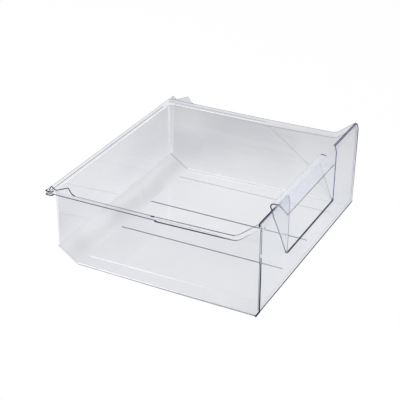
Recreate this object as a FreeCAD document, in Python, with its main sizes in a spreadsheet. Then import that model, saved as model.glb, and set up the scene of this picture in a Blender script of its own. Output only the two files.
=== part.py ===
import FreeCAD, Part
import math
import os
import Sketcher

# Clear freezer drawer: a tub with a sloping rear floor, a tall front panel
# with a hand recess in its middle, and a rim that hangs on the cabinet's rails.
# Millimetres. +Z is up and the front panel faces -Y.
# The origin is on the resting plane, under the middle of the drawer.

os.makedirs("parts", exist_ok=True)
doc = FreeCAD.newDocument("FreezerDrawer")
sheet = doc.addObject("Spreadsheet::Sheet", "Sizes")


class Size:
    """A length with the expression that gives it in the document."""

    def __init__(self, number, text):
        self.number = float(number)
        self.text = text

    def joined(self, other, sign, number):
        return Size(number, "(" + self.text + " " + sign + " " + as_size(other).text + ")")

    def __add__(self, other):
        return self.joined(other, "+", self.number + as_size(other).number)

    def __sub__(self, other):
        return self.joined(other, "-", self.number - as_size(other).number)

    def __mul__(self, other):
        return self.joined(other, "*", self.number * as_size(other).number)

    def __truediv__(self, other):
        return self.joined(other, "/", self.number / as_size(other).number)

    def __neg__(self):
        return Size(-self.number, "(0 - " + self.text + ")")


def as_size(value):
    if isinstance(value, Size):
        return value
    return Size(value, repr(float(value)))


rows = []


def size(alias, number, note):
    """Adds one driving dimension to the spreadsheet."""
    rows.append(alias)
    line = str(len(rows))
    sheet.set("A" + line, note)
    sheet.set("B" + line, str(number))
    sheet.setAlias("B" + line, alias)
    return Size(number, "Sizes." + alias)


# Overall sizes

depth = size("depth", 388, "front face to the outside of the back rim")
front_height = size("front_height", 169.4, "floor underside to the top of the front")
lip_outer = size("lip_outer", 216, "half width over the lips of the side rims")

# Wall thicknesses

front_wall = size("front_wall", 2.8, "thickness of the front panel")
side_wall = size("side_wall", 2.2, "thickness of the side walls")
back_skin = size("back_skin", 2.2, "thickness of the back wall")
floor_wall = size("floor_wall", 2.4, "thickness of the floor")

# Front panel

bevel_depth = size("bevel_depth", 6.4, "how far back the foot of the front is set")
bevel_height = size("bevel_height", 11, "height of the slanted foot")
foot_length = size("foot_length", 2.2, "flat of the front panel under the slanted foot")
band_height = size("band_height", 10.9, "height of the leaning band at the top")
band_lean = size("band_lean", 3, "how far the band leans back")
front_round = size("front_round", 5, "radius of the front panel's upper corners")

# Front and side walls: how far they stand in from the outside of the lips

front_low_inset = size("front_low_inset", 4.9, "inset of the front at its foot")
front_high_inset = size("front_high_inset", 2, "inset of the front at its top")
waist_place = size("waist_place", 180, "distance from the front of the middle section")
waist_low_inset = size("waist_low_inset", 6.2, "inset there at the floor")
waist_high_inset = size("waist_high_inset", 7.4, "inset there at the rim")
waist_flare = size("waist_flare", 1.2, "extra half width there at the full front height")
flare_place = size("flare_place", 30, "distance from the front where the flare begins")
flare_height = size("flare_height", 8, "height where the flare begins")
tail_low_inset = size("tail_low_inset", 10.8, "inset at the rear end, at the floor")
tail_high_inset = size("tail_high_inset", 9, "inset at the rear end, at the rim")
foot_round = size("foot_round", 1.9, "outside radius along the foot of the side walls")

# Back wall and sloping rear floor

slope_run = size("slope_run", 38, "length of the rear slope, front to back")
slope_rise = size("slope_rise", 26, "height of the rear slope")
slope_turn = size("slope_turn", 2, "upright strip above the slope")
back_draft = size("back_draft", 2.6, "how far the back wall leans back over its height")
corner_low = size("corner_low", 3.2, "outside radius of the rear corners, at their foot")
corner_high = size("corner_high", 9, "outside radius of the rear corners, at the rim")
corner_lead = size("corner_lead", 2, "straight strip between a rear corner and the side wall")

# Rim that hangs on the rails

rim_height = size("rim_height", 131.5, "floor underside to the underside of the rim")
ledge_wall = size("ledge_wall", 1.8, "thickness of the flat ledge")
lip_wall = size("lip_wall", 2, "thickness of the upright lip")
lip_rise = size("lip_rise", 6.5, "underside of the ledge to the top of the lip")
back_ledge = size("back_ledge", 6.4, "back wall to the outside of the back rim")
step_place = size("step_place", 183, "distance from the front of the step in the rim")
step_drop = size("step_drop", 1.9, "height of the step in the underside of the rim")
rail_climb = size("rail_climb", 2.2, "rise of the rim from the step to the ramp")
ramp_reach = size("ramp_reach", 5.6, "distance from the front where the ramp ends")
ramp_slope = size("ramp_slope", 0.8, "rise of the ramp for each unit of run")
ramp_band = size("ramp_band", 10, "upright height of the lip on the ramp")
ramp_radius = size("ramp_radius", 26, "radius where the ramp begins")
lip_taper = size("lip_taper", 50, "distance from the front where the lip turns in")

# Stop fins and ears at the rear end of the rim

fin_foot = size("fin_foot", 54, "rear end to the front foot of the fin")
fin_bend = size("fin_bend", 47, "rear end to the bend in the fin's front edge")
fin_bend_rise = size("fin_bend_rise", 3, "height of that bend above the lip")
fin_tip = size("fin_tip", 41.5, "rear end to the tip of the fin")
fin_rise = size("fin_rise", 12.5, "height of the tip above the lip")
fin_valley = size("fin_valley", 16, "rear end to the valley behind the fin")
fin_valley_rise = size("fin_valley_rise", 1.8, "height of the valley above the lip")
fin_post = size("fin_post", 8, "rear end to the tip of the post behind the fin")
fin_post_rise = size("fin_post_rise", 8, "height of the post above the lip")
fin_heel = size("fin_heel", 4, "rear end to the heel of the post")
fin_round = size("fin_round", 1.2, "radius of the tips")
fin_sweep = size("fin_sweep", 7, "radius of the fin's hollow edges")
ear_reach = size("ear_reach", 5.5, "how far the ear stands out of the lip")
ear_length = size("ear_length", 12, "length of the ear, front to back")
ear_round = size("ear_round", 1.5, "radius of the ear's outer corners")
ear_plate = size("ear_plate", 1.5, "thickness of the ear's two plates")
ear_web = size("ear_web", 1.2, "thickness of the web that joins them at the lip")

# Hand recess in the front

window_half = size("window_half", 104, "half width of the recess")
window_sill = size("window_sill", 62.5, "floor underside to the lower edge of the recess")
recess_wall = size("recess_wall", 2.4, "thickness of the recess and the grip")
recess_low_run = size("recess_low_run", 12.7, "run of the recess to its first bend")
recess_low_rise = size("recess_low_rise", 33.5, "rise of the recess to its first bend")
recess_mid_run = size("recess_mid_run", 24, "run of the recess to its second bend")
recess_mid_fall = size("recess_mid_fall", 12, "top of the recess down to its second bend")
recess_run = size("recess_run", 27.6, "run of the recess to the grip")
recess_round = size("recess_round", 40, "radius of the bends in the recess")
grip_back = size("grip_back", 32.9, "front face to the back of the grip")
grip_drop = size("grip_drop", 22, "top of the front down to the top of the grip")
grip_sheet = size("grip_sheet", 13.4, "top of the grip down to the top of the recess")
grip_shoulder = size("grip_shoulder", 6.6, "top of the grip down to its straight back")
grip_knee = size("grip_knee", 17.6, "front face to the front end of the grip's top")
grip_lip = size("grip_lip", 2.5, "front face to the lower edge of the grip")
grip_fall = size("grip_fall", 13.9, "top of the grip down to its lower edge")
grip_back_round = size("grip_back_round", 6, "outside radius at the back of the grip")
grip_front_round = size("grip_front_round", 9, "outside radius at the front of the grip")
cheek_wall = size("cheek_wall", 2.2, "thickness of the cheeks at the ends of the recess")
cheek_reach = size("cheek_reach", 20, "front face to the rear end of the cheek's top edge")

# Ribs under the floor

rib_drop = size("rib_drop", 1.2, "how far the ribs stand down from the floor")
rib_width = size("rib_width", 1.5, "width of a rib at the floor")
rib_foot = size("rib_foot", 1.1, "width of a rib at its foot")
rib_start = size("rib_start", 27, "front face to the front end of the ribs")
rib_inner = size("rib_inner", 55, "middle of the drawer to the inner ribs")
rib_outer_inset = size("rib_outer_inset", 45.5, "outer ribs to the outside of the lips")

doc.recompute()

# Places worked out from the sizes

none = as_size(0)
spare = as_size(12)
half_depth = depth / 2


def back(distance):
    """Y of a point that far behind the front face."""
    return distance - half_depth


def up(height):
    """Z of a point that far above the floor's underside."""
    return rib_drop + height


def part_way(start, end, share):
    return start + (end - start) * share


front_low = lip_outer - front_low_inset
front_high = lip_outer - front_high_inset
waist_low = lip_outer - waist_low_inset
waist_high = lip_outer - waist_high_inset
tail_low = lip_outer - tail_low_inset
tail_high = lip_outer - tail_high_inset
crease = front_height - band_height
cut_height = front_height + spare
back_top = depth - back_ledge
back_foot = back_top - back_draft
slope_start = back_foot - slope_run
seam_height = slope_rise + slope_turn
seam_low = back_foot - corner_low - corner_lead
seam_high = back_top - corner_high - corner_lead
lip_inner = lip_outer - lip_wall
rib_outer = lip_outer - rib_outer_inset
grip_height = front_height - grip_drop
grip_lip_height = grip_height - grip_fall
recess_top = grip_height - grip_sheet
foot_end = bevel_depth + foot_length
step_height = rim_height - step_drop
rail_front = step_height + rail_climb
lip_front = rail_front + lip_rise + step_drop
ramp_top = ramp_reach + (front_height - lip_front) / ramp_slope
ramp_low = ramp_reach + (front_height - ramp_band - rail_front) / ramp_slope
ramp_top_start = front_height + ramp_reach * ramp_slope
ramp_low_start = ramp_top_start - ramp_band


def side_half(distance, height):
    """Outside half width of the tub behind its middle section."""
    share = (depth - distance) / (depth - waist_place)
    low = part_way(tail_low, waist_low, share)
    high = part_way(tail_high, waist_high, share)
    return part_way(low, high, height / rim_height)


# Sketch and feature helpers

def origin_plane(body, role):
    for feature in body.Origin.OriginFeatures:
        if feature.Role == role:
            return feature
    raise ValueError(role)


def corner_data(before, here, after):
    """Tangent points, centre and turning side of a rounded corner."""
    at = FreeCAD.Vector(here[0].number, here[1].number, 0)
    to_before = FreeCAD.Vector(before[0].number, before[1].number, 0) - at
    to_after = FreeCAD.Vector(after[0].number, after[1].number, 0) - at
    left_turn = to_before.cross(to_after).z < 0
    to_before.normalize()
    to_after.normalize()
    half_angle = to_before.getAngle(to_after) / 2
    radius = here[2].number
    reach = radius / math.tan(half_angle)
    middle = to_before + to_after
    middle.normalize()
    centre = at + middle * (radius / math.sin(half_angle))
    return at + to_before * reach, at + to_after * reach, centre, left_turn


def add_outline(sketch, corners):
    """Draws a closed outline and fixes each of its corners by the sizes."""
    corners = [tuple(as_size(value) for value in corner) for corner in corners]
    count = len(corners)
    arcs = {}
    starts = []
    ends = []
    for i, corner in enumerate(corners):
        here = FreeCAD.Vector(corner[0].number, corner[1].number, 0)
        if len(corner) == 3:
            arcs[i] = corner_data(corners[i - 1], corner, corners[(i + 1) % count])
            starts.append(arcs[i][1])
            ends.append(arcs[i][0])
        else:
            starts.append(here)
            ends.append(here)
    lines = []
    for i in range(count):
        segment = Part.LineSegment(starts[i], ends[(i + 1) % count])
        lines.append(sketch.addGeometry(segment, False))
    for i, corner in enumerate(corners):
        entry = lines[i - 1]
        leave = lines[i]
        if i not in arcs:
            sketch.addConstraint(Sketcher.Constraint("Coincident", entry, 2, leave, 1))
            fix_point(sketch, leave, corner)
            continue
        first, last, centre, left_turn = arcs[i]
        circle = Part.Circle(centre, FreeCAD.Vector(0, 0, 1), corner[2].number)
        if not left_turn:
            first, last = last, first
        start_angle = math.atan2(first.y - centre.y, first.x - centre.x)
        end_angle = math.atan2(last.y - centre.y, last.x - centre.x)
        bend = Part.ArcOfCircle(circle, start_angle, end_angle)
        arc = sketch.addGeometry(bend, False)
        near = 1 if left_turn else 2
        far = 3 - near
        sketch.addConstraint(Sketcher.Constraint("Tangent", entry, 2, arc, near))
        sketch.addConstraint(Sketcher.Constraint("Tangent", arc, far, leave, 1))
        rounding = Sketcher.Constraint("Radius", arc, corner[2].number)
        index = sketch.addConstraint(rounding)
        sketch.setExpression("Constraints[" + str(index) + "]", corner[2].text)
        spot = FreeCAD.Vector(corner[0].number, corner[1].number, 0)
        mark = sketch.addGeometry(Part.Point(spot), True)
        sketch.addConstraint(Sketcher.Constraint("PointOnObject", mark, 1, entry))
        sketch.addConstraint(Sketcher.Constraint("PointOnObject", mark, 1, leave))
        fix_point(sketch, mark, corner)


def fix_point(sketch, geometry, corner):
    for kind, value in (("DistanceX", corner[0]), ("DistanceY", corner[1])):
        rule = Sketcher.Constraint(kind, -1, 1, geometry, 1, value.number)
        index = sketch.addConstraint(rule)
        sketch.setExpression("Constraints[" + str(index) + "]", value.text)


def draw(body, role, name, outlines, offset=None):
    """A sketch on one of the body's own planes, moved along the plane's normal."""
    sketch = body.newObject("Sketcher::SketchObject", name)
    sketch.AttachmentSupport = [(origin_plane(body, role), "")]
    sketch.MapMode = "FlatFace"
    if offset is not None:
        offset = as_size(offset)
        sketch.AttachmentOffset = FreeCAD.Placement(
            FreeCAD.Vector(0, 0, offset.number), FreeCAD.Rotation())
        sketch.setExpression(".AttachmentOffset.Base.z", offset.text)
    for corners in outlines:
        add_outline(sketch, corners)
    doc.recompute()
    return sketch


def new_body(name):
    body = doc.addObject("PartDesign::Body", name)
    body.Label = name
    return body


def pad(body, sketch, length, both_ways=False):
    length = as_size(length)
    feature = body.newObject("PartDesign::Pad", sketch.Name + "_pad")
    feature.Profile = sketch
    feature.Length = length.number
    feature.setExpression("Length", length.text)
    if both_ways:
        feature.SideType = "Symmetric"
    sketch.Visibility = False
    doc.recompute()
    return feature


def cut(body, sketch, length):
    """Cuts the sketch out of the body, the same way to both sides of its plane."""
    length = as_size(length)
    before = body.Shape.Volume
    feature = body.newObject("PartDesign::Pocket", sketch.Name + "_cut")
    feature.Profile = sketch
    feature.Length = length.number
    feature.setExpression("Length", length.text)
    feature.SideType = "Symmetric"
    sketch.Visibility = False
    doc.recompute()
    if body.Shape.Volume >= before:
        raise ValueError(sketch.Name + " cuts nothing")
    return feature


def loft(body, sketches):
    feature = body.newObject("PartDesign::AdditiveLoft", sketches[0].Name + "_loft")
    feature.Profile = sketches[0]
    feature.Sections = sketches[1:]
    feature.Ruled = True
    for sketch in sketches:
        sketch.Visibility = False
    doc.recompute()
    return feature


def mirrored(source, name):
    twin = doc.addObject("Part::Mirroring", name)
    twin.Label = name
    twin.Source = source
    twin.Base = FreeCAD.Vector(0, 0, 0)
    twin.Normal = FreeCAD.Vector(1, 0, 0)
    doc.recompute()
    return twin


side_span = lip_outer * 2 + spare * 4
all_span = depth * 2 + spare * 4


def frame_around():
    """A rectangle well outside the drawer, seen from the side."""
    low = -spare
    high = up(cut_height + spare)
    near = back(-spare * 2)
    far = back(depth + spare * 2)
    return [(near, low), (far, low), (far, high), (near, high)]


def plan_frame():
    """A rectangle well outside the drawer, seen from above."""
    wide = lip_outer + spare * 2
    near = back(-spare * 2)
    far = back(depth + spare * 2)
    return [(-wide, near), (wide, near), (wide, far), (-wide, far)]


# The inner face of the front panel, from the floor up.
# The walls, rims and cheeks all end on this line.

bevel_inner_low = foot_end - 0.2
front_seam = [
    (foot_end, none),
    (foot_end, floor_wall),
    (bevel_inner_low, floor_wall),
    (front_wall, bevel_height + 0.8),
    (front_wall, crease - 0.5),
    (band_lean + front_wall + 0.1, front_height),
]


def cut_front(body, name):
    """Cuts away all that would reach into the front panel."""
    low = -spare
    ahead = -spare
    lean = (front_seam[5][0] - front_seam[4][0]) / (front_seam[5][1] - front_seam[4][1])
    over = front_height + spare
    line = [(foot_end, low)]
    line += front_seam[1:5]
    line += [(front_seam[5][0] + lean * spare, over), (ahead, over), (ahead, low)]
    corners = [(back(run), up(rise)) for run, rise in line]
    return cut(body, draw(body, "YZ_Plane", name, [corners]), side_span)


# Front panel

front_panel = new_body("front_panel")
section = [
    (foot_end, none),
    (bevel_depth, none),
    (none, bevel_height),
    (none, crease),
    (band_lean, front_height),
]
section += list(reversed(front_seam[1:]))
corners = [(back(run), up(rise)) for run, rise in section]
wide = front_high + spare
pad(front_panel, draw(front_panel, "YZ_Plane", "front_section", [corners]),
    front_high * 2 + spare, both_ways=True)
front_slope = (front_high - front_low) / front_height
right_trim = [
    (front_low - front_slope * spare, up(-spare)),
    (wide, up(-spare)),
    (wide, up(cut_height)),
    (front_high - spare, up(cut_height)),
    (front_high - spare, up(front_height)),
    (front_high, up(front_height), front_round),
]
left_trim = [(-point[0],) + tuple(point[1:]) for point in reversed(right_trim)]
opening = [
    (-window_half, up(window_sill)),
    (window_half, up(window_sill)),
    (window_half, up(cut_height)),
    (-window_half, up(cut_height)),
]
cut(front_panel, draw(front_panel, "XZ_Plane", "front_outline",
                      [right_trim, left_trim, opening]), all_span)

# Side walls

right_side_wall = new_body("right_side_wall")


def wall_section(name, distance, low, bend, high, bend_height):
    """One upright section of the side wall, drawn over its full front height."""
    line = [(low, up(none)), (bend, up(bend_height)), (high, up(cut_height))]
    inner = [(across - side_wall, height) for across, height in reversed(line)]
    outer = [(low, up(none), foot_round)] + line[1:]
    return draw(right_side_wall, "XZ_Plane", name, [outer + inner], -back(distance))


cut_share = (cut_height - rim_height) / rim_height
wall_sections = [
    wall_section("wall_front", none, front_low,
                 front_low + front_slope * flare_height,
                 front_low + front_slope * cut_height, flare_height),
    wall_section("wall_flare", flare_place, front_low, front_low, front_high, flare_height),
    wall_section("wall_waist", waist_place, waist_low, waist_high,
                 waist_high + waist_flare, rim_height),
    wall_section("wall_tail", depth, tail_low, tail_high,
                 tail_high + (tail_high - tail_low) * cut_share, rim_height),
]
loft(right_side_wall, wall_sections)


def rail_path(lift):
    """Underside of the rim seen from the side, front to rear, raised by lift.

    A raised path has its step that much further forward, so a band between
    two paths keeps its thickness there.
    """
    return [
        (none, ramp_low_start + lift),
        (ramp_low, rail_front + lift, ramp_radius),
        (step_place - lift, step_height + lift),
        (step_place - lift, rim_height + lift),
    ]


def placed(points):
    """Side view points as places in the drawer."""
    result = []
    for point in points:
        result.append((back(point[0]), up(point[1])) + tuple(point[2:]))
    return result


wall_outline = [
    (none, none),
    (slope_start, none),
    (back_foot, slope_rise),
    (back_foot, seam_height),
    (seam_low, seam_height),
    (seam_high, rim_height),
]
wall_outline += list(reversed(rail_path(none)))
cut(right_side_wall, draw(right_side_wall, "YZ_Plane", "wall_outline",
                          [frame_around(), placed(wall_outline)]), side_span)
cut_front(right_side_wall, "wall_front_end")
left_side_wall = mirrored(right_side_wall, "left_side_wall")

# Floor

floor_panel = new_body("floor_panel")
floor_corners = [
    (side_half(slope_start, none) - side_wall, back(slope_start)),
    (waist_low - side_wall, back(waist_place)),
    (front_low - side_wall, back(flare_place)),
    (front_low - side_wall, back(foot_end)),
]
floor_corners += [(-across, place) for across, place in reversed(floor_corners)]
pad(floor_panel, draw(floor_panel, "XY_Plane", "floor_plan", [floor_corners], up(none)),
    floor_wall)

# Rear slope

rear_slope_panel = new_body("rear_slope_panel")
slope_lean = slope_rise / slope_run
slope_inner = back_foot - back_skin
slope_section = [
    (slope_start, none),
    (back_foot, slope_rise),
    (back_foot, seam_height),
    (slope_inner, seam_height),
    (slope_inner, floor_wall + 0.4 + slope_lean * (slope_inner - slope_start)),
    (slope_start, floor_wall),
]
slope_half = side_half(slope_start, none) - side_wall
pad(rear_slope_panel, draw(rear_slope_panel, "YZ_Plane", "slope_section",
                           [placed(slope_section)]), slope_half * 2, both_ways=True)

# Back wall with its rounded corners

back_wall = new_body("back_wall")


def back_section(name, height, outer_place, radius, seam):
    half = side_half(seam, height)
    inner_half = half - side_wall
    inner_place = outer_place - back_skin
    inner_radius = radius - back_skin
    right = [
        (inner_half, seam),
        (half, seam),
        (half, outer_place, radius),
    ]
    left = [(-half, outer_place, radius), (-half, seam), (-inner_half, seam)]
    inside = [(-inner_half, inner_place, inner_radius), (inner_half, inner_place, inner_radius)]
    points = [(point[0], back(point[1])) + tuple(point[2:]) for point in right + left + inside]
    return draw(back_wall, "XY_Plane", name, [points], up(height))


loft(back_wall, [
    back_section("back_low", seam_height, back_foot, corner_low, seam_low),
    back_section("back_high", rim_height, back_top, corner_high, seam_high),
])

# Side rims: a flat ledge that hangs on the rail, and an upright lip

right_slide_rim = new_body("right_slide_rim")
lip_profile = rail_path(none)
lip_profile += [(depth, rim_height), (depth, rim_height + lip_rise)]
lip_profile += [
    (step_place, rim_height + lip_rise),
    (ramp_top, lip_front, ramp_radius),
    (none, ramp_top_start),
]
lip_start = waist_high
pad(right_slide_rim, draw(right_slide_rim, "YZ_Plane", "lip_profile",
                          [placed(lip_profile)], lip_start), lip_outer - lip_start + spare)
lip_plan = [
    (lip_inner, back(depth)),
    (lip_inner, back(lip_taper)),
    (front_high - lip_wall, back(none)),
    (front_high, back(none)),
    (lip_outer, back(lip_taper)),
    (lip_outer, back(depth)),
]
cut(right_slide_rim, draw(right_slide_rim, "XY_Plane", "lip_plan",
                          [plan_frame(), lip_plan]), side_span)

ledge_profile = rail_path(none)
ledge_profile += [(depth, rim_height), (depth, rim_height + ledge_wall)]
ledge_profile += list(reversed(rail_path(ledge_wall)))
ledge_start = tail_high - side_wall - spare
pad(right_slide_rim, draw(right_slide_rim, "YZ_Plane", "ledge_profile",
                          [placed(ledge_profile)], ledge_start),
    lip_inner + lip_wall / 2 - ledge_start)
ledge_end = side_half(seam_high, rim_height) - side_wall
flare_share = (waist_place - ramp_low) / (waist_place - flare_place)
ramp_rise = (rail_front - flare_height) / (cut_height - flare_height)
flare_half = part_way(front_low, front_high, ramp_rise)
rim_plan = [
    (lip_outer, back(depth)),
    (lip_inner, back(depth)),
    (lip_inner, back(seam_high)),
    (ledge_end, back(seam_high)),
    (waist_high - side_wall, back(waist_place)),
    (part_way(waist_high, flare_half, flare_share) - side_wall, back(ramp_low)),
    (front_high - side_wall, back(none)),
    (front_high, back(none)),
    (lip_outer, back(lip_taper)),
]
cut(right_slide_rim, draw(right_slide_rim, "XY_Plane", "rim_plan",
                          [plan_frame(), rim_plan]), side_span)
cut_front(right_slide_rim, "rim_front_end")
left_slide_rim = mirrored(right_slide_rim, "left_slide_rim")

# Back rim, between the lips of the side rims

back_rim = new_body("back_rim")
back_inner = back_top - back_skin
back_radius = corner_high - back_skin
ledge_plan = [
    (ledge_end, seam_high),
    (lip_inner, seam_high),
    (lip_inner, depth),
    (-lip_inner, depth),
    (-lip_inner, seam_high),
    (-ledge_end, seam_high),
    (-ledge_end, back_inner, back_radius),
    (ledge_end, back_inner, back_radius),
]
ledge_plan = [(point[0], back(point[1])) + tuple(point[2:]) for point in ledge_plan]
pad(back_rim, draw(back_rim, "XY_Plane", "back_ledge_plan", [ledge_plan], up(rim_height)),
    ledge_wall)
back_lip_plan = [
    (-lip_inner, back(depth - lip_wall)),
    (lip_inner, back(depth - lip_wall)),
    (lip_inner, back(depth)),
    (-lip_inner, back(depth)),
]
pad(back_rim, draw(back_rim, "XY_Plane", "back_lip_plan", [back_lip_plan], up(rim_height)),
    lip_rise)

# Stop fins on the lips, and ears outside them

lip_top = rim_height + lip_rise
right_stop_fin = new_body("right_stop_fin")
fin_profile = [
    (depth - fin_foot, lip_top),
    (depth - fin_heel, lip_top),
    (depth - fin_post, lip_top + fin_post_rise, fin_round),
    (depth - fin_valley, lip_top + fin_valley_rise, fin_sweep),
    (depth - fin_tip, lip_top + fin_rise, fin_round),
    (depth - fin_bend, lip_top + fin_bend_rise, fin_sweep),
]
pad(right_stop_fin, draw(right_stop_fin, "YZ_Plane", "fin_profile",
                         [placed(fin_profile)], lip_inner), lip_wall)
left_stop_fin = mirrored(right_stop_fin, "left_stop_fin")

right_rear_ear = new_body("right_rear_ear")
ear_plan = [
    (lip_outer, back(depth - ear_length)),
    (lip_outer + ear_reach, back(depth - ear_length), ear_round),
    (lip_outer + ear_reach, back(depth), ear_round),
    (lip_outer, back(depth)),
]
pad(right_rear_ear, draw(right_rear_ear, "XY_Plane", "ear_plan", [ear_plan], up(rim_height)),
    lip_rise)
ear_slot = [
    (lip_outer + ear_web, up(rim_height + ear_plate)),
    (lip_outer + ear_reach + spare, up(rim_height + ear_plate)),
    (lip_outer + ear_reach + spare, up(rim_height + lip_rise - ear_plate)),
    (lip_outer + ear_web, up(rim_height + lip_rise - ear_plate)),
]
cut(right_rear_ear, draw(right_rear_ear, "XZ_Plane", "ear_slot", [ear_slot]), all_span)
left_rear_ear = mirrored(right_rear_ear, "left_rear_ear")

# Hand recess: a sheet that slopes back from the sill of the opening

recess_gap = recess_wall * 1.07
recess_front = [
    (none, window_sill),
    (recess_low_run, window_sill + recess_low_rise, recess_round),
    (recess_mid_run, recess_top - recess_mid_fall, recess_round),
    (recess_run, recess_top),
]
recess_rear = [
    (recess_run + recess_wall, recess_top - 0.7),
    (recess_mid_run + recess_gap - 0.3, recess_top - recess_mid_fall - 0.9, recess_round),
    (recess_low_run + recess_gap - 0.3, window_sill + recess_low_rise - 0.9, recess_round),
    (front_wall, window_sill + 0.6),
    (front_wall, window_sill),
]
handle_recess = new_body("handle_recess")
pad(handle_recess, draw(handle_recess, "YZ_Plane", "recess_section",
                        [placed(recess_front + recess_rear)]), window_half * 2, both_ways=True)

# Grip: the sheet turns over and comes forward to a lower edge behind the front

knee_slope = (grip_height - grip_lip_height) / (grip_knee - grip_lip)
grip_outer = [
    (recess_run + recess_wall, recess_top - 0.7),
    (grip_back, grip_height - grip_shoulder),
    (grip_back, grip_height, grip_back_round),
    (grip_knee, grip_height, grip_front_round),
    (grip_lip, grip_lip_height),
]
grip_inner = [
    (grip_lip + recess_wall * 0.7, grip_lip_height - recess_wall * 0.72),
    (grip_knee + recess_wall * 0.42, grip_height - recess_wall, grip_front_round - recess_wall),
    (grip_back - recess_wall, grip_height - recess_wall, grip_back_round - recess_wall),
    (grip_back - recess_wall, grip_height - grip_shoulder),
    (recess_run, recess_top),
]
handle_grip = new_body("handle_grip")
pad(handle_grip, draw(handle_grip, "YZ_Plane", "grip_section",
                      [placed(grip_outer + grip_inner)]), window_half * 2, both_ways=True)

# Cheeks: plates that close the two ends of the recess

right_handle_cheek = new_body("right_handle_cheek")
cheek_outline = [
    (none, front_height),
    (band_lean, front_height),
    (cheek_reach, grip_height),
    (grip_back, grip_height, grip_back_round),
    (grip_back, grip_height - grip_shoulder),
]
cheek_outline += recess_rear[:4]
cheek_outline += [(none, window_sill + 0.6)]
pad(right_handle_cheek, draw(right_handle_cheek, "YZ_Plane", "cheek_outline",
                             [placed(cheek_outline)], window_half), cheek_wall)
cut_front(right_handle_cheek, "cheek_front_end")
left_handle_cheek = mirrored(right_handle_cheek, "left_handle_cheek")

# Ribs under the floor

rib_places = [-rib_outer, -rib_inner, rib_inner, rib_outer]
glide_ribs = []
for number, place in enumerate(rib_places):
    rib = new_body("glide_rib_" + str(number + 1))
    rib_section = [
        (place - rib_width / 2, up(none)),
        (place - rib_foot / 2, none),
        (place + rib_foot / 2, none),
        (place + rib_width / 2, up(none)),
    ]
    sketch = draw(rib, "XZ_Plane", "rib_section_" + str(number + 1), [rib_section],
                  -back(slope_start))
    pad(rib, sketch, slope_start - rib_start)
    glide_ribs.append(rib)

# Checks and files

nodes = [
    front_panel, floor_panel, rear_slope_panel, back_wall,
    left_side_wall, right_side_wall, left_slide_rim, right_slide_rim, back_rim,
    left_stop_fin, right_stop_fin, left_rear_ear, right_rear_ear,
    handle_recess, handle_grip, left_handle_cheek, right_handle_cheek,
] + glide_ribs

doc.recompute()
for item in doc.Objects:
    if "Invalid" in item.State or "Error" in item.State:
        raise ValueError(item.Name + " did not recompute")
for node in nodes:
    shape = node.Shape
    if shape.isNull() or not shape.isValid():
        raise ValueError(node.Label + " has no valid shape")
    if len(shape.Solids) != 1:
        raise ValueError(node.Label + " is not one solid")
    shape.exportStep("parts/" + node.Label + ".step")
    box = shape.optimalBoundingBox(False)
    print(node.Label, [round(value, 2) for value in
                       (box.XMin, box.XMax, box.YMin, box.YMax, box.ZMin, box.ZMax)],
          round(shape.Volume / 1000, 2))
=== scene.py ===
import math

import bmesh
import bpy
from mathutils import Matrix, Vector


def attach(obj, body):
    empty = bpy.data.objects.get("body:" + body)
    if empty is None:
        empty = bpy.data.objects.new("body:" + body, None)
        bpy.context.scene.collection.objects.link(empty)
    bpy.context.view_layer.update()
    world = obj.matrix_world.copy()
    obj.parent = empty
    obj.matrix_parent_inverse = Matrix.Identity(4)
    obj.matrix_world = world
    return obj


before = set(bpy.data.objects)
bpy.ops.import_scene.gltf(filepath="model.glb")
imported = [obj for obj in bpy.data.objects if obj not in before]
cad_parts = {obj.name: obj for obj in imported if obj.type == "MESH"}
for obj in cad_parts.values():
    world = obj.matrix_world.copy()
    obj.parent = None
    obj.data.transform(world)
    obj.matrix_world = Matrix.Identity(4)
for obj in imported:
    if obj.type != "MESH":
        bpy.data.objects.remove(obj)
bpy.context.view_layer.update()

# Camera, fitted so that the part's edges fall on the photograph's straight edges

CAMERA_AZIMUTH = math.radians(-63.722)
CAMERA_ELEVATION = math.radians(27.967)
CAMERA_ROLL = math.radians(0.734)
CAMERA_PLACE = Vector((-1.68263, -0.81299, 1.05780))
FOCAL_PIXELS = 1196.44
FRAME_PIXELS = 400
SENSOR_WIDTH = 36.0
CLIP_START = 0.01
CLIP_END = 50


def add_camera():
    data = bpy.data.cameras.new("camera")
    data.sensor_width = SENSOR_WIDTH
    data.lens = FOCAL_PIXELS / FRAME_PIXELS * SENSOR_WIDTH
    data.clip_start = CLIP_START
    data.clip_end = CLIP_END
    camera = bpy.data.objects.new("camera", data)
    bpy.context.scene.collection.objects.link(camera)
    back = Vector((
        math.sin(CAMERA_AZIMUTH) * math.cos(CAMERA_ELEVATION),
        -math.cos(CAMERA_AZIMUTH) * math.cos(CAMERA_ELEVATION),
        math.sin(CAMERA_ELEVATION),
    ))
    right = Vector((0, 0, 1)).cross(back).normalized()
    up = back.cross(right)
    turn = Matrix((right, up, back)).transposed()
    roll = Matrix.Rotation(CAMERA_ROLL, 3, "Z")
    camera.matrix_world = Matrix.Translation(CAMERA_PLACE) @ (turn @ roll).to_4x4()
    bpy.context.scene.camera = camera


# Small helpers for node trees

MIX_FIRST = 6
MIX_SECOND = 7
EVEN_SPREAD = (0.3, 0.7)
FIRM_SPREAD = (0.35, 0.65)


def new_material(name):
    material = bpy.data.materials.new(name)
    material.use_nodes = True
    material.node_tree.nodes.clear()
    return material, material.node_tree


def node(tree, kind, **values):
    made = tree.nodes.new(kind)
    for key, value in values.items():
        setattr(made, key, value)
    return made


def link(tree, source, target):
    tree.links.new(source, target)


def math_node(tree, operation, first, second):
    made = node(tree, "ShaderNodeMath", operation=operation)
    for socket, value in zip(made.inputs, (first, second)):
        if isinstance(value, (int, float)):
            socket.default_value = value
        else:
            link(tree, value, socket)
    return made.outputs[0]


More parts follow.
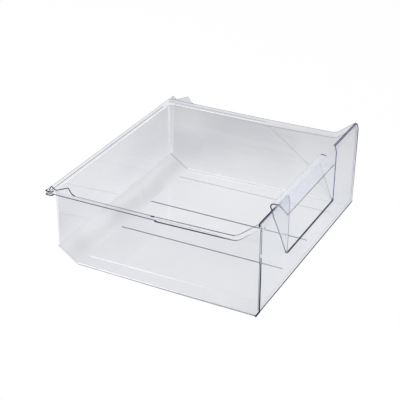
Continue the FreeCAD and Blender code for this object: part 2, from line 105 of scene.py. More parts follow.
def mix_colour(tree, share, first, second):
    made = node(tree, "ShaderNodeMix", data_type="RGBA")
    link(tree, share, made.inputs["Factor"])
    for socket, value in zip((made.inputs[MIX_FIRST], made.inputs[MIX_SECOND]), (first, second)):
        socket.default_value = (*value, 1)
    return made.outputs[2]


def noise(tree, place, scale, detail=2.0, distortion=0.0):
    made = node(tree, "ShaderNodeTexNoise")
    made.inputs["Scale"].default_value = scale
    made.inputs["Detail"].default_value = detail
    made.inputs["Distortion"].default_value = distortion
    link(tree, place, made.inputs["Vector"])
    return made.outputs["Fac"]


def ramp(tree, value, low, high, to_low=0.0, to_high=1.0):
    made = node(tree, "ShaderNodeMapRange")
    made.inputs["From Min"].default_value = low
    made.inputs["From Max"].default_value = high
    made.inputs["To Min"].default_value = to_low
    made.inputs["To Max"].default_value = to_high
    link(tree, value, made.inputs["Value"])
    return made.outputs[0]


def dot(tree, vector, direction):
    made = node(tree, "ShaderNodeVectorMath", operation="DOT_PRODUCT")
    link(tree, vector, made.inputs[0])
    made.inputs[1].default_value = direction
    return made.outputs["Value"]


def relief(tree, height, strength, distance):
    made = node(tree, "ShaderNodeBump")
    made.inputs["Strength"].default_value = strength
    made.inputs["Distance"].default_value = distance
    link(tree, height, made.inputs["Height"])
    return made.outputs[0]


def mix_shaders(tree, share, first, second):
    made = node(tree, "ShaderNodeMixShader")
    for socket, source in zip(made.inputs, (share, first.outputs[0], second.outputs[0])):
        link(tree, source, socket)
    return made


def end_with(tree, shader, kind="ShaderNodeOutputMaterial"):
    output = node(tree, kind)
    link(tree, shader.outputs[0], output.inputs["Surface"])


# Clear plastic

THIN_IOR = 1.02
COAT_IOR = 1.5
COAT_ROUGHNESS = 0.03
# Colour of the painted light a clear part gives off through its glow, though it is no lamp
PAINTED_GLOW_COLOUR = (0.82, 0.87, 1.0, 1)
NO_BANDS = [(0.0, 0.0), (0.1, 0.0)]
BAND_SWAY_SCALE = 7.0
BAND_SWAY = 0.005
CLOUD_SCALE = 11.0
CLOUD_SWAY = 0.2
SMEAR_STRETCH = (4.0, 4.0, 7.0)
SMEAR_TURN = (0.5, 0.35, 0.2)
SMEAR_BEND = 1.2
HAZE_SCALE = 30.0
RIPPLE_SCALE = 14.0
RIPPLE_HEIGHT = 0.004

FILM_CLOUD_SCALE = 12.0
FILM_HAZE = (0.03, 0.08)
FILM_RIPPLE = 0.1
GRAZING_POWER = 5.0

# Colour of the painted glow on the pale highlight lines
LINE_HIGHLIGHT_GLOW_COLOUR = (0.97, 0.98, 1.0, 1)
EDGE_CLOUD_SCALE = 22.0
EDGE_HAZE_SCALE = 60.0
EDGE_HAZE_SPREAD = 0.1
EDGE_GRAIN_SCALE = 400.0
EDGE_GRAIN_STRENGTH = 0.1
EDGE_GRAIN_HEIGHT = 0.0005


def finish_clear(tree, plastic, pale):
    """Ends a clear material. Shadow rays pass it, so the lamp lights what is behind it."""
    passing = node(tree, "ShaderNodeBsdfTransparent")
    passing.inputs["Color"].default_value = (*pale, 1)
    path = node(tree, "ShaderNodeLightPath")
    end_with(tree, mix_shaders(tree, path.outputs["Is Shadow Ray"], plastic, passing))


def painted_shade_along(tree, place, axis, bands):
    """How deep the painted shade is along an axis, with soft uneven borders between the bands."""
    split = node(tree, "ShaderNodeSeparateXYZ")
    link(tree, place, split.inputs[0])
    sway = noise(tree, place, BAND_SWAY_SCALE, detail=1.0)
    sway = ramp(tree, sway, *EVEN_SPREAD, -BAND_SWAY, BAND_SWAY)
    along = math_node(tree, "ADD", split.outputs[axis], sway)
    low, high = bands[0][0], bands[-1][0]
    made = node(tree, "ShaderNodeValToRGB")
    stops = made.color_ramp.elements
    while len(stops) < len(bands):
        stops.new(0.5)
    for stop, (here, depth) in zip(stops, bands):
        stop.position = (here - low) / (high - low)
        stop.color = (depth, depth, depth, 1)
    link(tree, ramp(tree, along, low, high), made.inputs[0])
    return made.outputs[0]


def surface_detail(tree, place, plastic, haze_range, ripple):
    """Gives the plastic a fine haze, and returns the flow ripples for its gloss."""
    haze = noise(tree, place, HAZE_SCALE, detail=4.0)
    link(tree, ramp(tree, haze, *EVEN_SPREAD, *haze_range), plastic.inputs["Roughness"])
    return relief(tree, noise(tree, place, RIPPLE_SCALE), ripple, RIPPLE_HEIGHT)


def add_painted_cloud(tree, place, share, centre, reach, depth):
    """Adds a soft cloud of painted shade to a share of tint, round a place. A negative depth makes
    it paler: painted light.
    """
    apart = node(tree, "ShaderNodeVectorMath", operation="DISTANCE")
    link(tree, place, apart.inputs[0])
    apart.inputs[1].default_value = centre
    cloud = ramp(tree, noise(tree, place, CLOUD_SCALE), *EVEN_SPREAD, -CLOUD_SWAY, CLOUD_SWAY)
    sway = math_node(tree, "MULTIPLY", cloud, reach)
    apart = math_node(tree, "ADD", apart.outputs["Value"], sway)
    near = node(tree, "ShaderNodeMapRange", interpolation_type="SMOOTHSTEP")
    near.inputs["From Min"].default_value = reach
    near.inputs["From Max"].default_value = 0.0
    near.inputs["To Max"].default_value = depth
    link(tree, apart, near.inputs["Value"])
    return math_node(tree, "ADD", share, near.outputs[0])


def thin_plastic(name, pale, deep, axis="Z", bands=NO_BANDS, painted_clouds=(), smear_depth=0.45,
                 ripple=0.15, clearness=1.0, haze_range=(0.01, 0.04), glow=0.0):
    """Thin moulded walls: light goes straight through, and the gloss is a coat.

    The tint changes along an axis and round given places, as painted shade and painted light, with
    soft smears in it.
    """
    material, tree = new_material(name)
    place = node(tree, "ShaderNodeTexCoord").outputs["Object"]
    plastic = node(tree, "ShaderNodeBsdfPrincipled")
    plastic.inputs["IOR"].default_value = THIN_IOR
    plastic.inputs["Transmission Weight"].default_value = clearness
    plastic.inputs["Coat Weight"].default_value = 1.0
    plastic.inputs["Coat IOR"].default_value = COAT_IOR
    plastic.inputs["Coat Roughness"].default_value = COAT_ROUGHNESS
    # glow is painted light: the plastic glows a little, though it is no lamp
    plastic.inputs["Emission Color"].default_value = PAINTED_GLOW_COLOUR
    plastic.inputs["Emission Strength"].default_value = glow
    stretched = node(tree, "ShaderNodeMapping")
    stretched.inputs["Scale"].default_value = SMEAR_STRETCH
    stretched.inputs["Rotation"].default_value = SMEAR_TURN
    link(tree, place, stretched.inputs["Vector"])
    smear = noise(tree, stretched.outputs[0], 1.0, detail=3.0, distortion=SMEAR_BEND)
    smear = ramp(tree, smear, *FIRM_SPREAD, 0.0, smear_depth)
    share = math_node(tree, "ADD", smear, painted_shade_along(tree, place, axis, bands))
    # Painted shade round given places; a negative depth paints light
    for centre, reach, depth in painted_clouds:
        share = add_painted_cloud(tree, place, share, centre, reach, depth)
    link(tree, mix_colour(tree, share, pale, deep), plastic.inputs["Base Color"])
    ripples = surface_detail(tree, place, plastic, haze_range, ripple)
    link(tree, ripples, plastic.inputs["Coat Normal"])
    finish_clear(tree, plastic, pale)
    return material


def film_plastic(name, pale, deep, gloss_level=0.04, gloss_rise=0.9):
    """The small clear forms, tinted and glossy, with nothing bent behind them.

    gloss_level is the gloss seen straight on, and gloss_rise what a grazing view adds.
    """
    material, tree = new_material(name)
    place = node(tree, "ShaderNodeTexCoord").outputs["Object"]
    cloud = noise(tree, place, FILM_CLOUD_SCALE, detail=3.0)
    tint = mix_colour(tree, ramp(tree, cloud, *FIRM_SPREAD), pale, deep)
    passing = node(tree, "ShaderNodeBsdfTransparent")
    link(tree, tint, passing.inputs["Color"])
    gloss = node(tree, "ShaderNodeBsdfGlossy")
    gloss.inputs["Color"].default_value = (1, 1, 1, 1)
    ripples = surface_detail(tree, place, gloss, FILM_HAZE, FILM_RIPPLE)
    link(tree, ripples, gloss.inputs["Normal"])
    facing = node(tree, "ShaderNodeLayerWeight")
    link(tree, ripples, facing.inputs["Normal"])
    grazing = math_node(tree, "POWER", facing.outputs["Facing"], GRAZING_POWER)
    shine = math_node(tree, "ADD", math_node(tree, "MULTIPLY", grazing, gloss_rise), gloss_level)
    end_with(tree, mix_shaders(tree, shine, passing, gloss))
    return material


def painted_edge_material(name, light, dark, roughness, shine, glow=0.0):
    """The opaque lines painted at moulded edges and corners, with an uneven tint: dark ones are
    painted shade and pale ones painted highlights.

    A pale one glows a little: painted light, standing for the light that runs inside the walls and
    leaves there.
    """
    material, tree = new_material(name)
    place = node(tree, "ShaderNodeTexCoord").outputs["Object"]
    plastic = node(tree, "ShaderNodeBsdfPrincipled")
    plastic.inputs["IOR"].default_value = COAT_IOR
    plastic.inputs["Specular IOR Level"].default_value = shine
    plastic.inputs["Emission Color"].default_value = LINE_HIGHLIGHT_GLOW_COLOUR
    plastic.inputs["Emission Strength"].default_value = glow
    cloud = noise(tree, place, EDGE_CLOUD_SCALE, detail=3.0)
    link(tree, mix_colour(tree, ramp(tree, cloud, *FIRM_SPREAD), light, dark),
         plastic.inputs["Base Color"])
    haze = noise(tree, place, EDGE_HAZE_SCALE, detail=3.0)
    link(tree, ramp(tree, haze, *EVEN_SPREAD, roughness, roughness + EDGE_HAZE_SPREAD),
         plastic.inputs["Roughness"])
    grain = noise(tree, place, EDGE_GRAIN_SCALE)
    link(tree, relief(tree, grain, EDGE_GRAIN_STRENGTH, EDGE_GRAIN_HEIGHT),
         plastic.inputs["Normal"])
    end_with(tree, plastic)
    return material


def dress(name, material):
    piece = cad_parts[name]
    piece.data.materials.clear()
    piece.data.materials.append(material)


# Joints between the nodes of the one moulding. Each plane is a point on it and its direction.

SEAM_REACH = 0.0002
SEAM_LEVEL = 0.9
FRONT_END = ((0, -0.1854, 0), (0, 1, 0))
SLOPE_FOOT = ((0, 0.147, 0), (0, 1, 0))
SLOPE_TOP = ((0, 0, 0.0292), (0, 0, 1))
REAR_SEAM = ((0, 0.1798, 0.0292), (0, 0.1035, 0.0032))
BACK_TOP = ((0, 0, 0.1327), (0, 0, 1))
LIP_LEFT = ((-0.216, 0, 0), (1, 0, 0))
LIP_RIGHT = ((0.216, 0, 0), (1, 0, 0))
LIP_TOP = ((0, 0, 0.1392), (0, 0, 1))
JOINTS = {
    "left_rear_ear": [LIP_LEFT],
    "right_rear_ear": [LIP_RIGHT],
    "left_stop_fin": [LIP_TOP],
    "right_stop_fin": [LIP_TOP],
    "floor_panel": [SLOPE_FOOT, FRONT_END],
    "rear_slope_panel": [SLOPE_FOOT, SLOPE_TOP],
    "back_wall": [SLOPE_TOP, REAR_SEAM, BACK_TOP],
    "left_side_wall": [REAR_SEAM, SLOPE_TOP, BACK_TOP],
    "right_side_wall": [REAR_SEAM, SLOPE_TOP, BACK_TOP],
}


def join_seams(name, planes):
    """Leaves out the faces that lie on a joint, where the moulding runs on unbroken."""
    tree = bpy.data.node_groups.new(name + "_joints", "GeometryNodeTree")
    tree.interface.new_socket("Geometry", in_out="INPUT", socket_type="NodeSocketGeometry")
    tree.interface.new_socket("Geometry", in_out="OUTPUT", socket_type="NodeSocketGeometry")
    entry = node(tree, "NodeGroupInput")
    leave = node(tree, "NodeGroupOutput")
    place = node(tree, "GeometryNodeInputPosition").outputs[0]
    facing = node(tree, "GeometryNodeInputNormal").outputs[0]
    chosen = None
    for point, direction in planes:
        direction = Vector(direction).normalized()
        far = math_node(tree, "SUBTRACT", dot(tree, place, direction),
                        Vector(point).dot(direction))
        far = math_node(tree, "ABSOLUTE", far, 0.0)
        near = math_node(tree, "LESS_THAN", far, SEAM_REACH)
        turned = math_node(tree, "ABSOLUTE", dot(tree, facing, direction), 0.0)
        level = math_node(tree, "GREATER_THAN", turned, SEAM_LEVEL)
        here = math_node(tree, "MULTIPLY", near, level)
        chosen = here if chosen is None else math_node(tree, "MAXIMUM", chosen, here)
    drop = node(tree, "GeometryNodeDeleteGeometry", domain="FACE", mode="ONLY_FACE")
    link(tree, entry.outputs[0], drop.inputs["Geometry"])
    link(tree, chosen, drop.inputs["Selection"])
    link(tree, drop.outputs[0], leave.inputs[0])
    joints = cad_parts[name].modifiers.new("joints", "NODES")
    joints.node_group = tree


# Beads along the sharp lines of the nodes

X, Y, Z = range(3)
SAME_POINT = 1e-5
SHARP_ANGLE = math.radians(25)
STRAIGHT = 0.9
BEAD_SPACING = 0.006
BEAD_ROUNDNESS = 2
THINNEST = 0.05
lines_found = {}


def sharp_lines(name):
    """The lines along which a node's faces meet at an angle, each as a list of points."""
    if name in lines_found:
        return lines_found[name]
    mesh = bmesh.new()
    mesh.from_mesh(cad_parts[name].data)
    bmesh.ops.remove_doubles(mesh, verts=mesh.verts, dist=SAME_POINT)
    left = {edge for edge in mesh.edges
            if len(edge.link_faces) == 2 and edge.calc_face_angle() > SHARP_ANGLE}
    lines = []
    while left:
        first = min(left, key=lambda edge: edge.index)
        left.discard(first)
        line = list(first.verts)
        for turn in range(2):
            while True:
                step = next_edge(line, left)
                if step is None:
                    break
                left.discard(step)
                line.append(step.other_vert(line[-1]))
            line.reverse()
        lines.append([vertex.co.copy() for vertex in line])
    mesh.free()
    lines_found[name] = lines
    return lines


def next_edge(line, left):
    """The edge that carries a line on most nearly straight, or None."""
    heading = (line[-1].co - line[-2].co).normalized()
    best, found = STRAIGHT, None
    for edge in line[-1].link_edges:
        if edge in left:
            way = edge.other_vert(line[-1]).co - line[-1].co
            if way.normalized().dot(heading) > best:
                best, found = way.normalized().dot(heading), edge
    return found


def nearest_line(name, through):
    """The sharp line of a node that passes nearest to a point."""
    def gap(line):
        return min(distance_to_run(through, start, end) for start, end in zip(line, line[1:]))
    return min(sharp_lines(name), key=gap)


def distance_to_run(point, start, end):
    run = end - start
    share = (Vector(point) - start).dot(run) / max(run.length_squared, 1e-12)
    return (Vector(point) - start - run * min(1, max(0, share))).length


def evenly(line):
    """More points on the long runs, so that a bead can thin out along them."""
    points = [line[0]]
    for start, end in zip(line, line[1:]):
        count = max(1, round((end - start).length / BEAD_SPACING))
        points += [start.lerp(end, (step + 1) / count) for step in range(count)]
    return points


def add_bead(name, lines, radius, material, keep=None, fade=None):
    """A fine round bead along each line, such as a moulded edge or a corner fillet, which its
    material paints as a shade line or a highlight.

    keep is (axis, low, high), the part of the line that has the bead.
    fade is (axis, full, gone), the places between which the bead thins out.
    """
    data = bpy.data.curves.new(name, "CURVE")
    data.dimensions = "3D"
    data.bevel_depth = radius
    data.bevel_resolution = BEAD_ROUNDNESS
    data.use_fill_caps = True
    for line in lines:
        points = evenly(line)
        if keep:
            axis, low, high = keep
            points = [point for point in points if low <= point[axis] <= high]
        if len(points) < 2:
            continue
        spline = data.splines.new("POLY")
        spline.points.add(len(points) - 1)
        for target, point in zip(spline.points, points):
            target.co = (*point, 1)
            if fade:
                axis, full, gone = fade
                share = (point[axis] - gone) / (full - gone)
                target.radius = min(1, max(THINNEST, share))
    bead = bpy.data.objects.new(name, data)
    bpy.context.scene.collection.objects.link(bead)
    data.materials.append(material)
    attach(bead, "root")


def edge_bead(name, owner, through, radius, material, keep=None, fade=None, shift=(0, 0, 0)):
    """A bead along the sharp lines of a node that pass nearest to some points."""
    lines = [[point + Vector(shift) for point in nearest_line(owner, mark)] for mark in through]
    add_bead(name, lines, radius, material, keep, fade)


def straight_bead(name, start, end, radius, material, fade=None):
    add_bead(name, [[Vector(start), Vector(end)]], radius, material, fade=fade)


# Studio

FLOOR_SIZE = 12.0
FLOOR_WHITE = (1.04, 1.04, 1.04, 1)
FLOOR_MATT = (0.95, 0.95, 0.95, 1)
FLOOR_GLOW_SHARE = 0.9
# A painted pool of light on the floor, seen only through the plastic
POOL_START = 0.22
POOL_END = 0.60
POOL_NEAR = 0.97
POOL_FAR = 0.66
GLOSS_SHARE = 0.5
SKY_LOW = (0.92, 0.92, 0.93)
SKY_HIGH = (0.10, 0.105, 0.12)
SKY_RANGE = (0.30, 0.75)
SOFTBOX_PLACE = (-0.5, 0.9, 2.3)
SOFTBOX_TARGET = (0, 0, 0.08)
SOFTBOX_SIZE = 2.0
SOFTBOX_POWER = 30


def add_floor():
    """White to the camera. Seen through the plastic it is a painted pool of light round the part,
    which falls off into grey.

    Light bent by the plastic counts as both glossy and transmitted, and only a mirrored
    view of the floor, glossy alone, is brightened.
    """
    bpy.ops.mesh.primitive_plane_add(size=FLOOR_SIZE)
    floor = bpy.context.object
    floor.name = "studio_floor"
    material, tree = new_material("studio_floor")
    path = node(tree, "ShaderNodeLightPath").outputs
    place = node(tree, "ShaderNodeTexCoord").outputs["Object"]
    reach = node(tree, "ShaderNodeVectorMath", operation="LENGTH")
    link(tree, place, reach.inputs[0])
    far = ramp(tree, reach.outputs["Value"], POOL_START, POOL_END)
    pool = mix_colour(tree, far, (POOL_NEAR,) * 3, (POOL_FAR,) * 3)
    lit = node(tree, "ShaderNodeMix", data_type="RGBA")
    gloss = math_node(tree, "SUBTRACT", path["Is Glossy Ray"], path["Is Transmission Ray"])
    gloss = math_node(tree, "MULTIPLY", math_node(tree, "MAXIMUM", gloss, 0.0), GLOSS_SHARE)
    link(tree, math_node(tree, "MAXIMUM", path["Is Camera Ray"], gloss), lit.inputs["Factor"])
    link(tree, pool, lit.inputs[MIX_FIRST])
    lit.inputs[MIX_SECOND].default_value = FLOOR_WHITE
    seen = math_node(tree, "MAXIMUM", path["Is Camera Ray"], path["Is Glossy Ray"])
    seen = math_node(tree, "MAXIMUM", seen, path["Is Transmission Ray"])
    share = math_node(tree, "MULTIPLY", seen, FLOOR_GLOW_SHARE)
    matt = node(tree, "ShaderNodeBsdfDiffuse")
    matt.inputs["Color"].default_value = FLOOR_MATT
    glow = node(tree, "ShaderNodeEmission")
    link(tree, lit.outputs[2], glow.inputs["Color"])
    glow.inputs["Strength"].default_value = 1.0
    end_with(tree, mix_shaders(tree, share, matt, glow))
    floor.data.materials.append(material)


def set_world():
    """White to the camera. Round the part it is pale low down and dark overhead."""
    world = bpy.data.worlds.new("studio")
    bpy.context.scene.world = world
    world.use_nodes = True
    tree = world.node_tree
    tree.nodes.clear()
    way = node(tree, "ShaderNodeTexCoord").outputs["Generated"]
    split = node(tree, "ShaderNodeSeparateXYZ")
    link(tree, way, split.inputs[0])
    height = ramp(tree, split.outputs["Z"], *SKY_RANGE)
    shade = mix_colour(tree, height, SKY_LOW, SKY_HIGH)
    path = node(tree, "ShaderNodeLightPath").outputs
    around = node(tree, "ShaderNodeBackground")
    link(tree, shade, around.inputs["Color"])
    around.inputs["Strength"].default_value = 1.0
    white = node(tree, "ShaderNodeBackground")
    white.inputs["Color"].default_value = (1, 1, 1, 1)
    white.inputs["Strength"].default_value = 1.0
    end_with(tree, mix_shaders(tree, path["Is Camera Ray"], around, white),
             "ShaderNodeOutputWorld")


def add_softbox():
    data = bpy.data.lights.new("softbox_top", "AREA")
    data.shape = "RECTANGLE"
    data.size = SOFTBOX_SIZE
    data.size_y = SOFTBOX_SIZE
    data.energy = SOFTBOX_POWER
    lamp = bpy.data.objects.new("softbox_top", data)
    bpy.context.scene.collection.objects.link(lamp)
    lamp.location = SOFTBOX_PLACE
    aim = Vector(SOFTBOX_TARGET) - Vector(SOFTBOX_PLACE)
    lamp.rotation_euler = aim.to_track_quat("-Z", "Y").to_euler()


# The part without its false inner faces

for name, planes in JOINTS.items():
    join_seams(name, planes)

# How deep the painted shade is along an axis, as (place, depth), and cloud patches of painted
# shade or light as (centre, reach, depth).
# They are painted shade and painted reflections of the studio in the photograph, and are set for
# that view.

PANEL_BANDS = [(0.0, 0.53), (0.05, 0.50), (0.18, 0.56)]
PANEL_CLOUDS = [((0.17, -0.19, 0.145), 0.15, -1.0), ((-0.18, -0.19, 0.09), 0.10, 0.2),
                ((0.03, -0.19, 0.04), 0.09, -0.45), ((0.15, -0.19, 0.04), 0.12, 0.5)]
GRIP_BANDS = [(-0.1915, 0.75), (-0.182, 0.6), (-0.174, 0.2), (-0.166, 0.05), (-0.150, 0.1)]
NEAR_CLOUDS = [((-0.206, 0.16, 0.115), 0.12, -0.35), ((-0.206, 0.185, 0.08), 0.07, 0.5)]
WALL_BANDS = [(0.0, 0.12), (0.05, 0.17), (0.08, 0.30), (0.10, 0.40), (0.14, 0.45)]
BACK_BANDS = [(0.03, 0.08), (0.05, 0.32), (0.07, 0.50), (0.085, 0.40), (0.10, 0.12),
              (0.12, 0.0)]
FLOOR_BANDS = [(-0.19, 0.0), (0.085, 0.0), (0.147, 0.5)]
FAR_BANDS = [(0.0, 0.0), (0.035, 0.15), (0.062, 0.35), (0.068, 0.50), (0.084, 0.46),
             (0.090, 0.36), (0.098, 0.52), (0.14, 0.42)]
FAR_CLOUDS = [((0.206, 0.13, 0.045), 0.10, 0.35), ((0.206, 0.06, 0.085), 0.12, 0.2),
              ((0.212, -0.17, 0.11), 0.16, -0.5), ((0.206, 0.14, 0.12), 0.09, -0.4),
              ((0.206, 0.165, 0.05), 0.075, 0.45), ((0.21, -0.11, 0.05), 0.09, -0.45),
              ((0.206, 0.15, 0.10), 0.06, -0.45)]
BACK_CLOUDS = [((0.08, 0.183, 0.065), 0.12, 0.35), ((0.14, 0.183, 0.115), 0.08, -0.2)]
SLOPE_CLOUDS = [((0.20, 0.165, 0.02), 0.16, 0.35), ((0.02, 0.165, 0.02), 0.15, 0.50),
                ((-0.10, 0.17, 0.02), 0.07, -0.35), ((-0.150, 0.150, 0.006), 0.07, 0.25)]
SLOPE_BANDS = [(0.147, 0.05), (0.158, 0.5), (0.166, 0.45), (0.174, 0.0), (0.179, 0.0),
               (0.185, 0.2)]

floor_look = thin_plastic("floor_plastic", (0.925, 0.932, 0.95), (0.865, 0.875, 0.90),
                          axis="Y", bands=FLOOR_BANDS, smear_depth=0.35, ripple=0.05)
slope_look = thin_plastic("slope_plastic", (0.93, 0.937, 0.955), (0.77, 0.78, 0.81),
                          axis="Y", bands=SLOPE_BANDS, painted_clouds=SLOPE_CLOUDS, smear_depth=0.2)
near_look = thin_plastic("near_wall_plastic", (0.945, 0.95, 0.96), (0.87, 0.88, 0.90),
                         bands=WALL_BANDS, painted_clouds=NEAR_CLOUDS)
back_look = thin_plastic("back_wall_plastic", (0.92, 0.925, 0.955), (0.82, 0.825, 0.865),
                         bands=BACK_BANDS, painted_clouds=BACK_CLOUDS)
# The far wall is the same plastic as the near one, with a deeper tint: painted shade
far_wall_shaded_look = thin_plastic("far_wall_painted_shade", (0.86, 0.868, 0.892), (0.72, 0.73, 0.772),
                        bands=FAR_BANDS, painted_clouds=FAR_CLOUDS, smear_depth=0.25)
panel_look = thin_plastic("panel_plastic", (0.955, 0.968, 1.0), (0.85, 0.868, 0.895),
                          bands=PANEL_BANDS, painted_clouds=PANEL_CLOUDS)
# The grip's bands are painted shade and painted highlight, and its glow is painted light
grip_look = thin_plastic("grip_plastic", (0.962, 0.967, 0.985), (0.915, 0.930, 0.995),
                         axis="Y", bands=GRIP_BANDS, smear_depth=0.2, clearness=0.85,
                         haze_range=(0.1, 0.2), glow=0.025)
recess_look = thin_plastic("recess_plastic", (0.98, 0.99, 1.0), (0.955, 0.965, 0.985))
cheek_look = film_plastic("cheek_plastic", (0.998, 0.999, 1.0), (0.985, 0.988, 0.995),
                          gloss_level=0.015, gloss_rise=0.5)
# The rims are one plastic in lit and shaded copies: painted light on the near rim and fin, painted
# shade on the far rim and fin
rim_look = film_plastic("rim_plastic", (0.945, 0.948, 0.962), (0.915, 0.92, 0.942))
near_rim_lit_look = film_plastic("near_rim_painted_light", (0.999, 0.999, 1.0), (0.990, 0.992, 0.997),
                             gloss_level=0.01, gloss_rise=0.3)
far_rim_shaded_look = film_plastic("far_rim_painted_shade", (0.875, 0.878, 0.89), (0.835, 0.84, 0.855))
far_fin_shaded_look = film_plastic("far_fin_painted_shade", (0.86, 0.86, 0.885), (0.80, 0.80, 0.83))
# The ribs are one plastic: the dark and soft copies are painted shade, the pale one painted light
rib_painted_shade = film_plastic("dark_rib_painted_shade", (0.34, 0.37, 0.50), (0.28, 0.31, 0.45))
rib_painted_soft_shade = film_plastic("soft_rib_painted_shade", (0.86, 0.865, 0.89), (0.80, 0.81, 0.85))
rib_painted_light = film_plastic("pale_rib_painted_light", (0.985, 0.987, 0.995), (0.97, 0.973, 0.985))

# The nodes are one plastic. The right ear takes the paler cheek tint as painted light, and the far
# side parts carry painted shade
LOOKS = {
    "floor_panel": floor_look,
    "rear_slope_panel": slope_look,
    "back_wall": back_look,
    "left_side_wall": near_look,
    "right_side_wall": far_wall_shaded_look,
    "front_panel": panel_look,
    "handle_recess": recess_look,
    "left_handle_cheek": cheek_look,
    "right_handle_cheek": cheek_look,
    "handle_grip": grip_look,
    "left_slide_rim": near_rim_lit_look,
    "left_stop_fin": near_rim_lit_look,
    "right_slide_rim": far_rim_shaded_look,
    "right_rear_ear": cheek_look,
    "right_stop_fin": far_fin_shaded_look,
    "glide_rib_1": rib_painted_light,
    "glide_rib_2": rib_painted_shade,
    "glide_rib_3": rib_painted_shade,
    "glide_rib_4": rib_painted_soft_shade,
}
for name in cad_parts:
    dress(name, LOOKS.get(name, rim_look))

# Fine beads on the moulded edges and in the corners, painted as dark shade lines and pale
# highlight lines; they aren't solids of the product. keep and fade name an axis first.

# Painted lines: the dark, blue and soft ones are painted shade where the clear edges look dark,
# the pale and bright ones glowing painted highlights
dark_shade_line = painted_edge_material("dark_edge_painted_shade", (0.018, 0.018, 0.100), (0.009, 0.009, 0.055),
                         roughness=0.4, shine=0.15)
blue_shade_line = painted_edge_material("blue_edge_painted_shade", (0.100, 0.110, 0.300), (0.070, 0.080, 0.230),
                         roughness=0.4, shine=0.2)
soft_shade_line = painted_edge_material("soft_edge_painted_shade", (0.45, 0.46, 0.52), (0.35, 0.36, 0.42),
                         roughness=0.3, shine=0.3)
pale_highlight_line = painted_edge_material("pale_edge_painted_highlight", (0.98, 0.982, 0.99), (0.94, 0.945, 0.96),
                         roughness=0.3, shine=0.5, glow=0.3)
bright_highlight_line = painted_edge_material("bright_edge_painted_highlight", (0.98, 0.982, 0.99), (0.95, 0.955, 0.97),
                           roughness=0.3, shine=0.5, glow=0.8)

LEFT_LIP_TOP = (-0.216, 0, 0.1392)
PANEL_LEFT_EDGE = (-0.2121, -0.194, 0.08)
PANEL_RIGHT_EDGE = (0.2121, -0.194, 0.08)
PANEL_TOP_SHIFT = (0, 0.0025, 0)
GRIP_LEFT_END = (-0.104, -0.1654, 0.1484)

edge_bead("left_rim_top_bead", "left_slide_rim", [LEFT_LIP_TOP], 0.00060, dark_shade_line,
          keep=(Y, -0.150, 0.150), fade=(Y, -0.100, 0.350))
edge_bead("left_rim_ramp_bead", "left_slide_rim", [LEFT_LIP_TOP], 0.00042, dark_shade_line,
          keep=(Y, -0.200, -0.145))
edge_bead("left_rim_foot_rear_bead", "left_slide_rim", [(-0.216, 0.1, 0.1327)], 0.00065,
          dark_shade_line)
edge_bead("left_rim_foot_front_bead", "left_slide_rim", [(-0.216, -0.1, 0.1308)], 0.00095,
          dark_shade_line, fade=(Y, -0.120, -0.190))
edge_bead("right_rim_top_bead", "right_slide_rim", [(0.216, 0, 0.1392)], 0.00038, soft_shade_line)
edge_bead("right_rim_ledge_rear_highlight", "right_slide_rim", [(0.2055, 0.08, 0.1345)], 0.00055,
          pale_highlight_line)
edge_bead("right_rim_ledge_front_bead", "right_slide_rim", [(0.2085, -0.09, 0.1326)], 0.00030,
          soft_shade_line)
edge_bead("right_rim_lip_bead", "right_slide_rim", [(0.214, 0.08, 0.1345)], 0.00035, soft_shade_line)
edge_bead("back_rim_top_bead", "back_rim", [(0, 0.194, 0.1392)], 0.00030, soft_shade_line)
edge_bead("back_rim_foot_bead", "back_rim", [(0, 0.194, 0.1327)], 0.00040, dark_shade_line,
          keep=(X, -0.220, 0.190))
edge_bead("back_rim_ledge_highlight", "back_rim", [(0, 0.1854, 0.1345)], 0.00055, pale_highlight_line)

edge_bead("panel_bottom_bead", "front_panel", [(0, -0.194, 0.0122)], 0.00085, dark_shade_line)
edge_bead("panel_foot_bead", "front_panel", [(0, -0.1876, 0.0012)], 0.00045, dark_shade_line)
edge_bead("panel_top_left_bead", "front_panel", [PANEL_LEFT_EDGE], 0.00120, dark_shade_line,
          keep=(Z, 0.166, 0.18), fade=(X, -0.160, -0.136), shift=PANEL_TOP_SHIFT)
edge_bead("panel_top_right_bead", "front_panel", [PANEL_RIGHT_EDGE], 0.00068, dark_shade_line,
          keep=(Z, 0.166, 0.18), shift=PANEL_TOP_SHIFT)
edge_bead("panel_outline_left_bead", "front_panel", [PANEL_LEFT_EDGE], 0.00110,
          dark_shade_line, keep=(Z, 0, 0.118), fade=(Z, 0.070, 0.220))
edge_bead("panel_corner_left_bead", "front_panel", [PANEL_LEFT_EDGE], 0.00048,
          blue_shade_line, keep=(Z, 0.116, 0.18), fade=(X, -0.150, -0.125))
edge_bead("panel_outline_right_bead", "front_panel", [PANEL_RIGHT_EDGE], 0.00090, blue_shade_line,
          fade=(Z, 0.150, -0.040))
edge_bead("panel_foot_left_bead", "front_panel", [(-0.2112, -0.191, 0.0067)], 0.00145, dark_shade_line)
edge_bead("panel_foot_right_bead", "front_panel", [(0.2112, -0.191, 0.0067)], 0.00035, soft_shade_line)
edge_bead("window_sill_bead", "front_panel", [(0, -0.194, 0.0637)], 0.00054, dark_shade_line)
edge_bead("window_left_bead", "front_panel", [(-0.104, -0.194, 0.11)], 0.00045, soft_shade_line)
edge_bead("window_right_bead", "front_panel", [(0.104, -0.194, 0.11)], 0.00070, blue_shade_line)
edge_bead("left_cheek_bead", "left_handle_cheek", [(-0.104, -0.176, 0.104)], 0.00085, dark_shade_line)
edge_bead("right_cheek_bead", "right_handle_cheek", [(0.104, -0.176, 0.104)], 0.00030, soft_shade_line)
edge_bead("grip_lip_bead", "handle_grip", [(0, -0.1915, 0.1347)], 0.00042, dark_shade_line)
edge_bead("grip_left_end_bead", "handle_grip", [GRIP_LEFT_END], 0.00070, dark_shade_line)
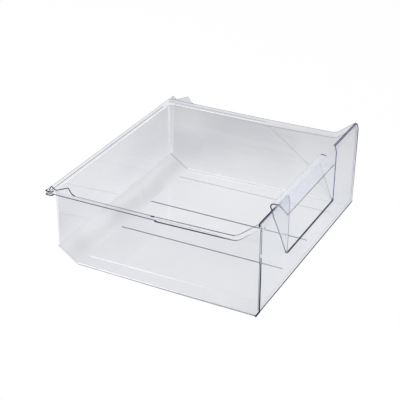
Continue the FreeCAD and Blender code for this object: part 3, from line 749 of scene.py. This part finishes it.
edge_bead("grip_left_hook_bead", "handle_grip", [GRIP_LEFT_END], 0.00105,
          dark_shade_line, keep=(Y, -0.180, -0.160), fade=(Y, -0.168, -0.184))
edge_bead("grip_right_hook_bead", "handle_grip", [(0.104, -0.1654, 0.1484)], 0.00080,
          dark_shade_line, keep=(Y, -0.176, -0.166))

edge_bead("left_ear_bead", "left_rear_ear",
          [(-0.2215, 0.188, 0.1392), (-0.2215, 0.188, 0.1327)], 0.00090, dark_shade_line)
edge_bead("right_ear_bead", "right_rear_ear",
          [(0.2215, 0.188, 0.1392), (0.2215, 0.188, 0.1327)], 0.00020, soft_shade_line)
edge_bead("left_fin_bead", "left_stop_fin", [(-0.216, 0.1758, 0.1421)], 0.00080, dark_shade_line)
edge_bead("right_fin_bead", "right_stop_fin", [(0.216, 0.1758, 0.1421)], 0.00035, soft_shade_line)

# Pale glowing tubes paint the highlights on the inner fillets; soft ones paint the shade lines at
# the slope and the wall's foot
edge_bead("right_floor_fillet_highlight", "floor_panel", [(0.2065, 0, 0.0036)], 0.00085, pale_highlight_line,
          fade=(Y, -0.02, -0.185))
edge_bead("left_floor_fillet_highlight", "floor_panel", [(-0.2065, 0, 0.0036)], 0.00070, pale_highlight_line,
          fade=(Y, 0.02, -0.12))
edge_bead("right_slope_fillet_shade", "rear_slope_panel", [(0.204, 0.165, 0.016)], 0.00025, soft_shade_line)
edge_bead("left_slope_fillet_shade", "rear_slope_panel", [(-0.204, 0.165, 0.016)], 0.00015, soft_shade_line)
edge_bead("left_wall_foot_shade", "left_side_wall", [(-0.2076, -0.014, 0.0012)], 0.00110, soft_shade_line,
          fade=(Y, -0.120, 0.260))

# Painted highlights in the rear corners
straight_bead("right_rear_corner_highlight", (0.1981, 0.1850, 0.1310), (0.1981, 0.1840, 0.0295),
              0.0009, pale_highlight_line)
straight_bead("left_rear_corner_highlight", (-0.2040, 0.1815, 0.1310), (-0.2032, 0.1835, 0.0295),
              0.0009, pale_highlight_line)
straight_bead("left_rim_top_step_bead", (-0.2162, -0.0015, 0.1388), (-0.2162, -0.0075, 0.1388),
              0.0011, dark_shade_line)
straight_bead("left_rim_foot_step_bead", (-0.2162, -0.0085, 0.1312), (-0.2162, -0.0150, 0.1308),
              0.0011, dark_shade_line)
# Painted highlight along the outer glide rib
straight_bead("glide_rib_1_highlight", (-0.1705, 0.146, 0.0008), (-0.1705, -0.150, 0.0008),
              0.00042, bright_highlight_line, fade=(Y, 0.020, -0.140))
# Painted shade line along the far wall's crease
CREASE = [(0.2092, -0.018, 0.131), (0.2092, -0.056, 0.105), (0.2091, -0.102, 0.070),
          (0.2088, -0.147, 0.041)]
add_bead("right_wall_crease_shade", [[Vector(point) for point in CREASE]], 0.00025, soft_shade_line)

add_camera()
add_floor()
set_world()
add_softbox()

bpy.context.scene.view_settings.view_transform = "Standard"
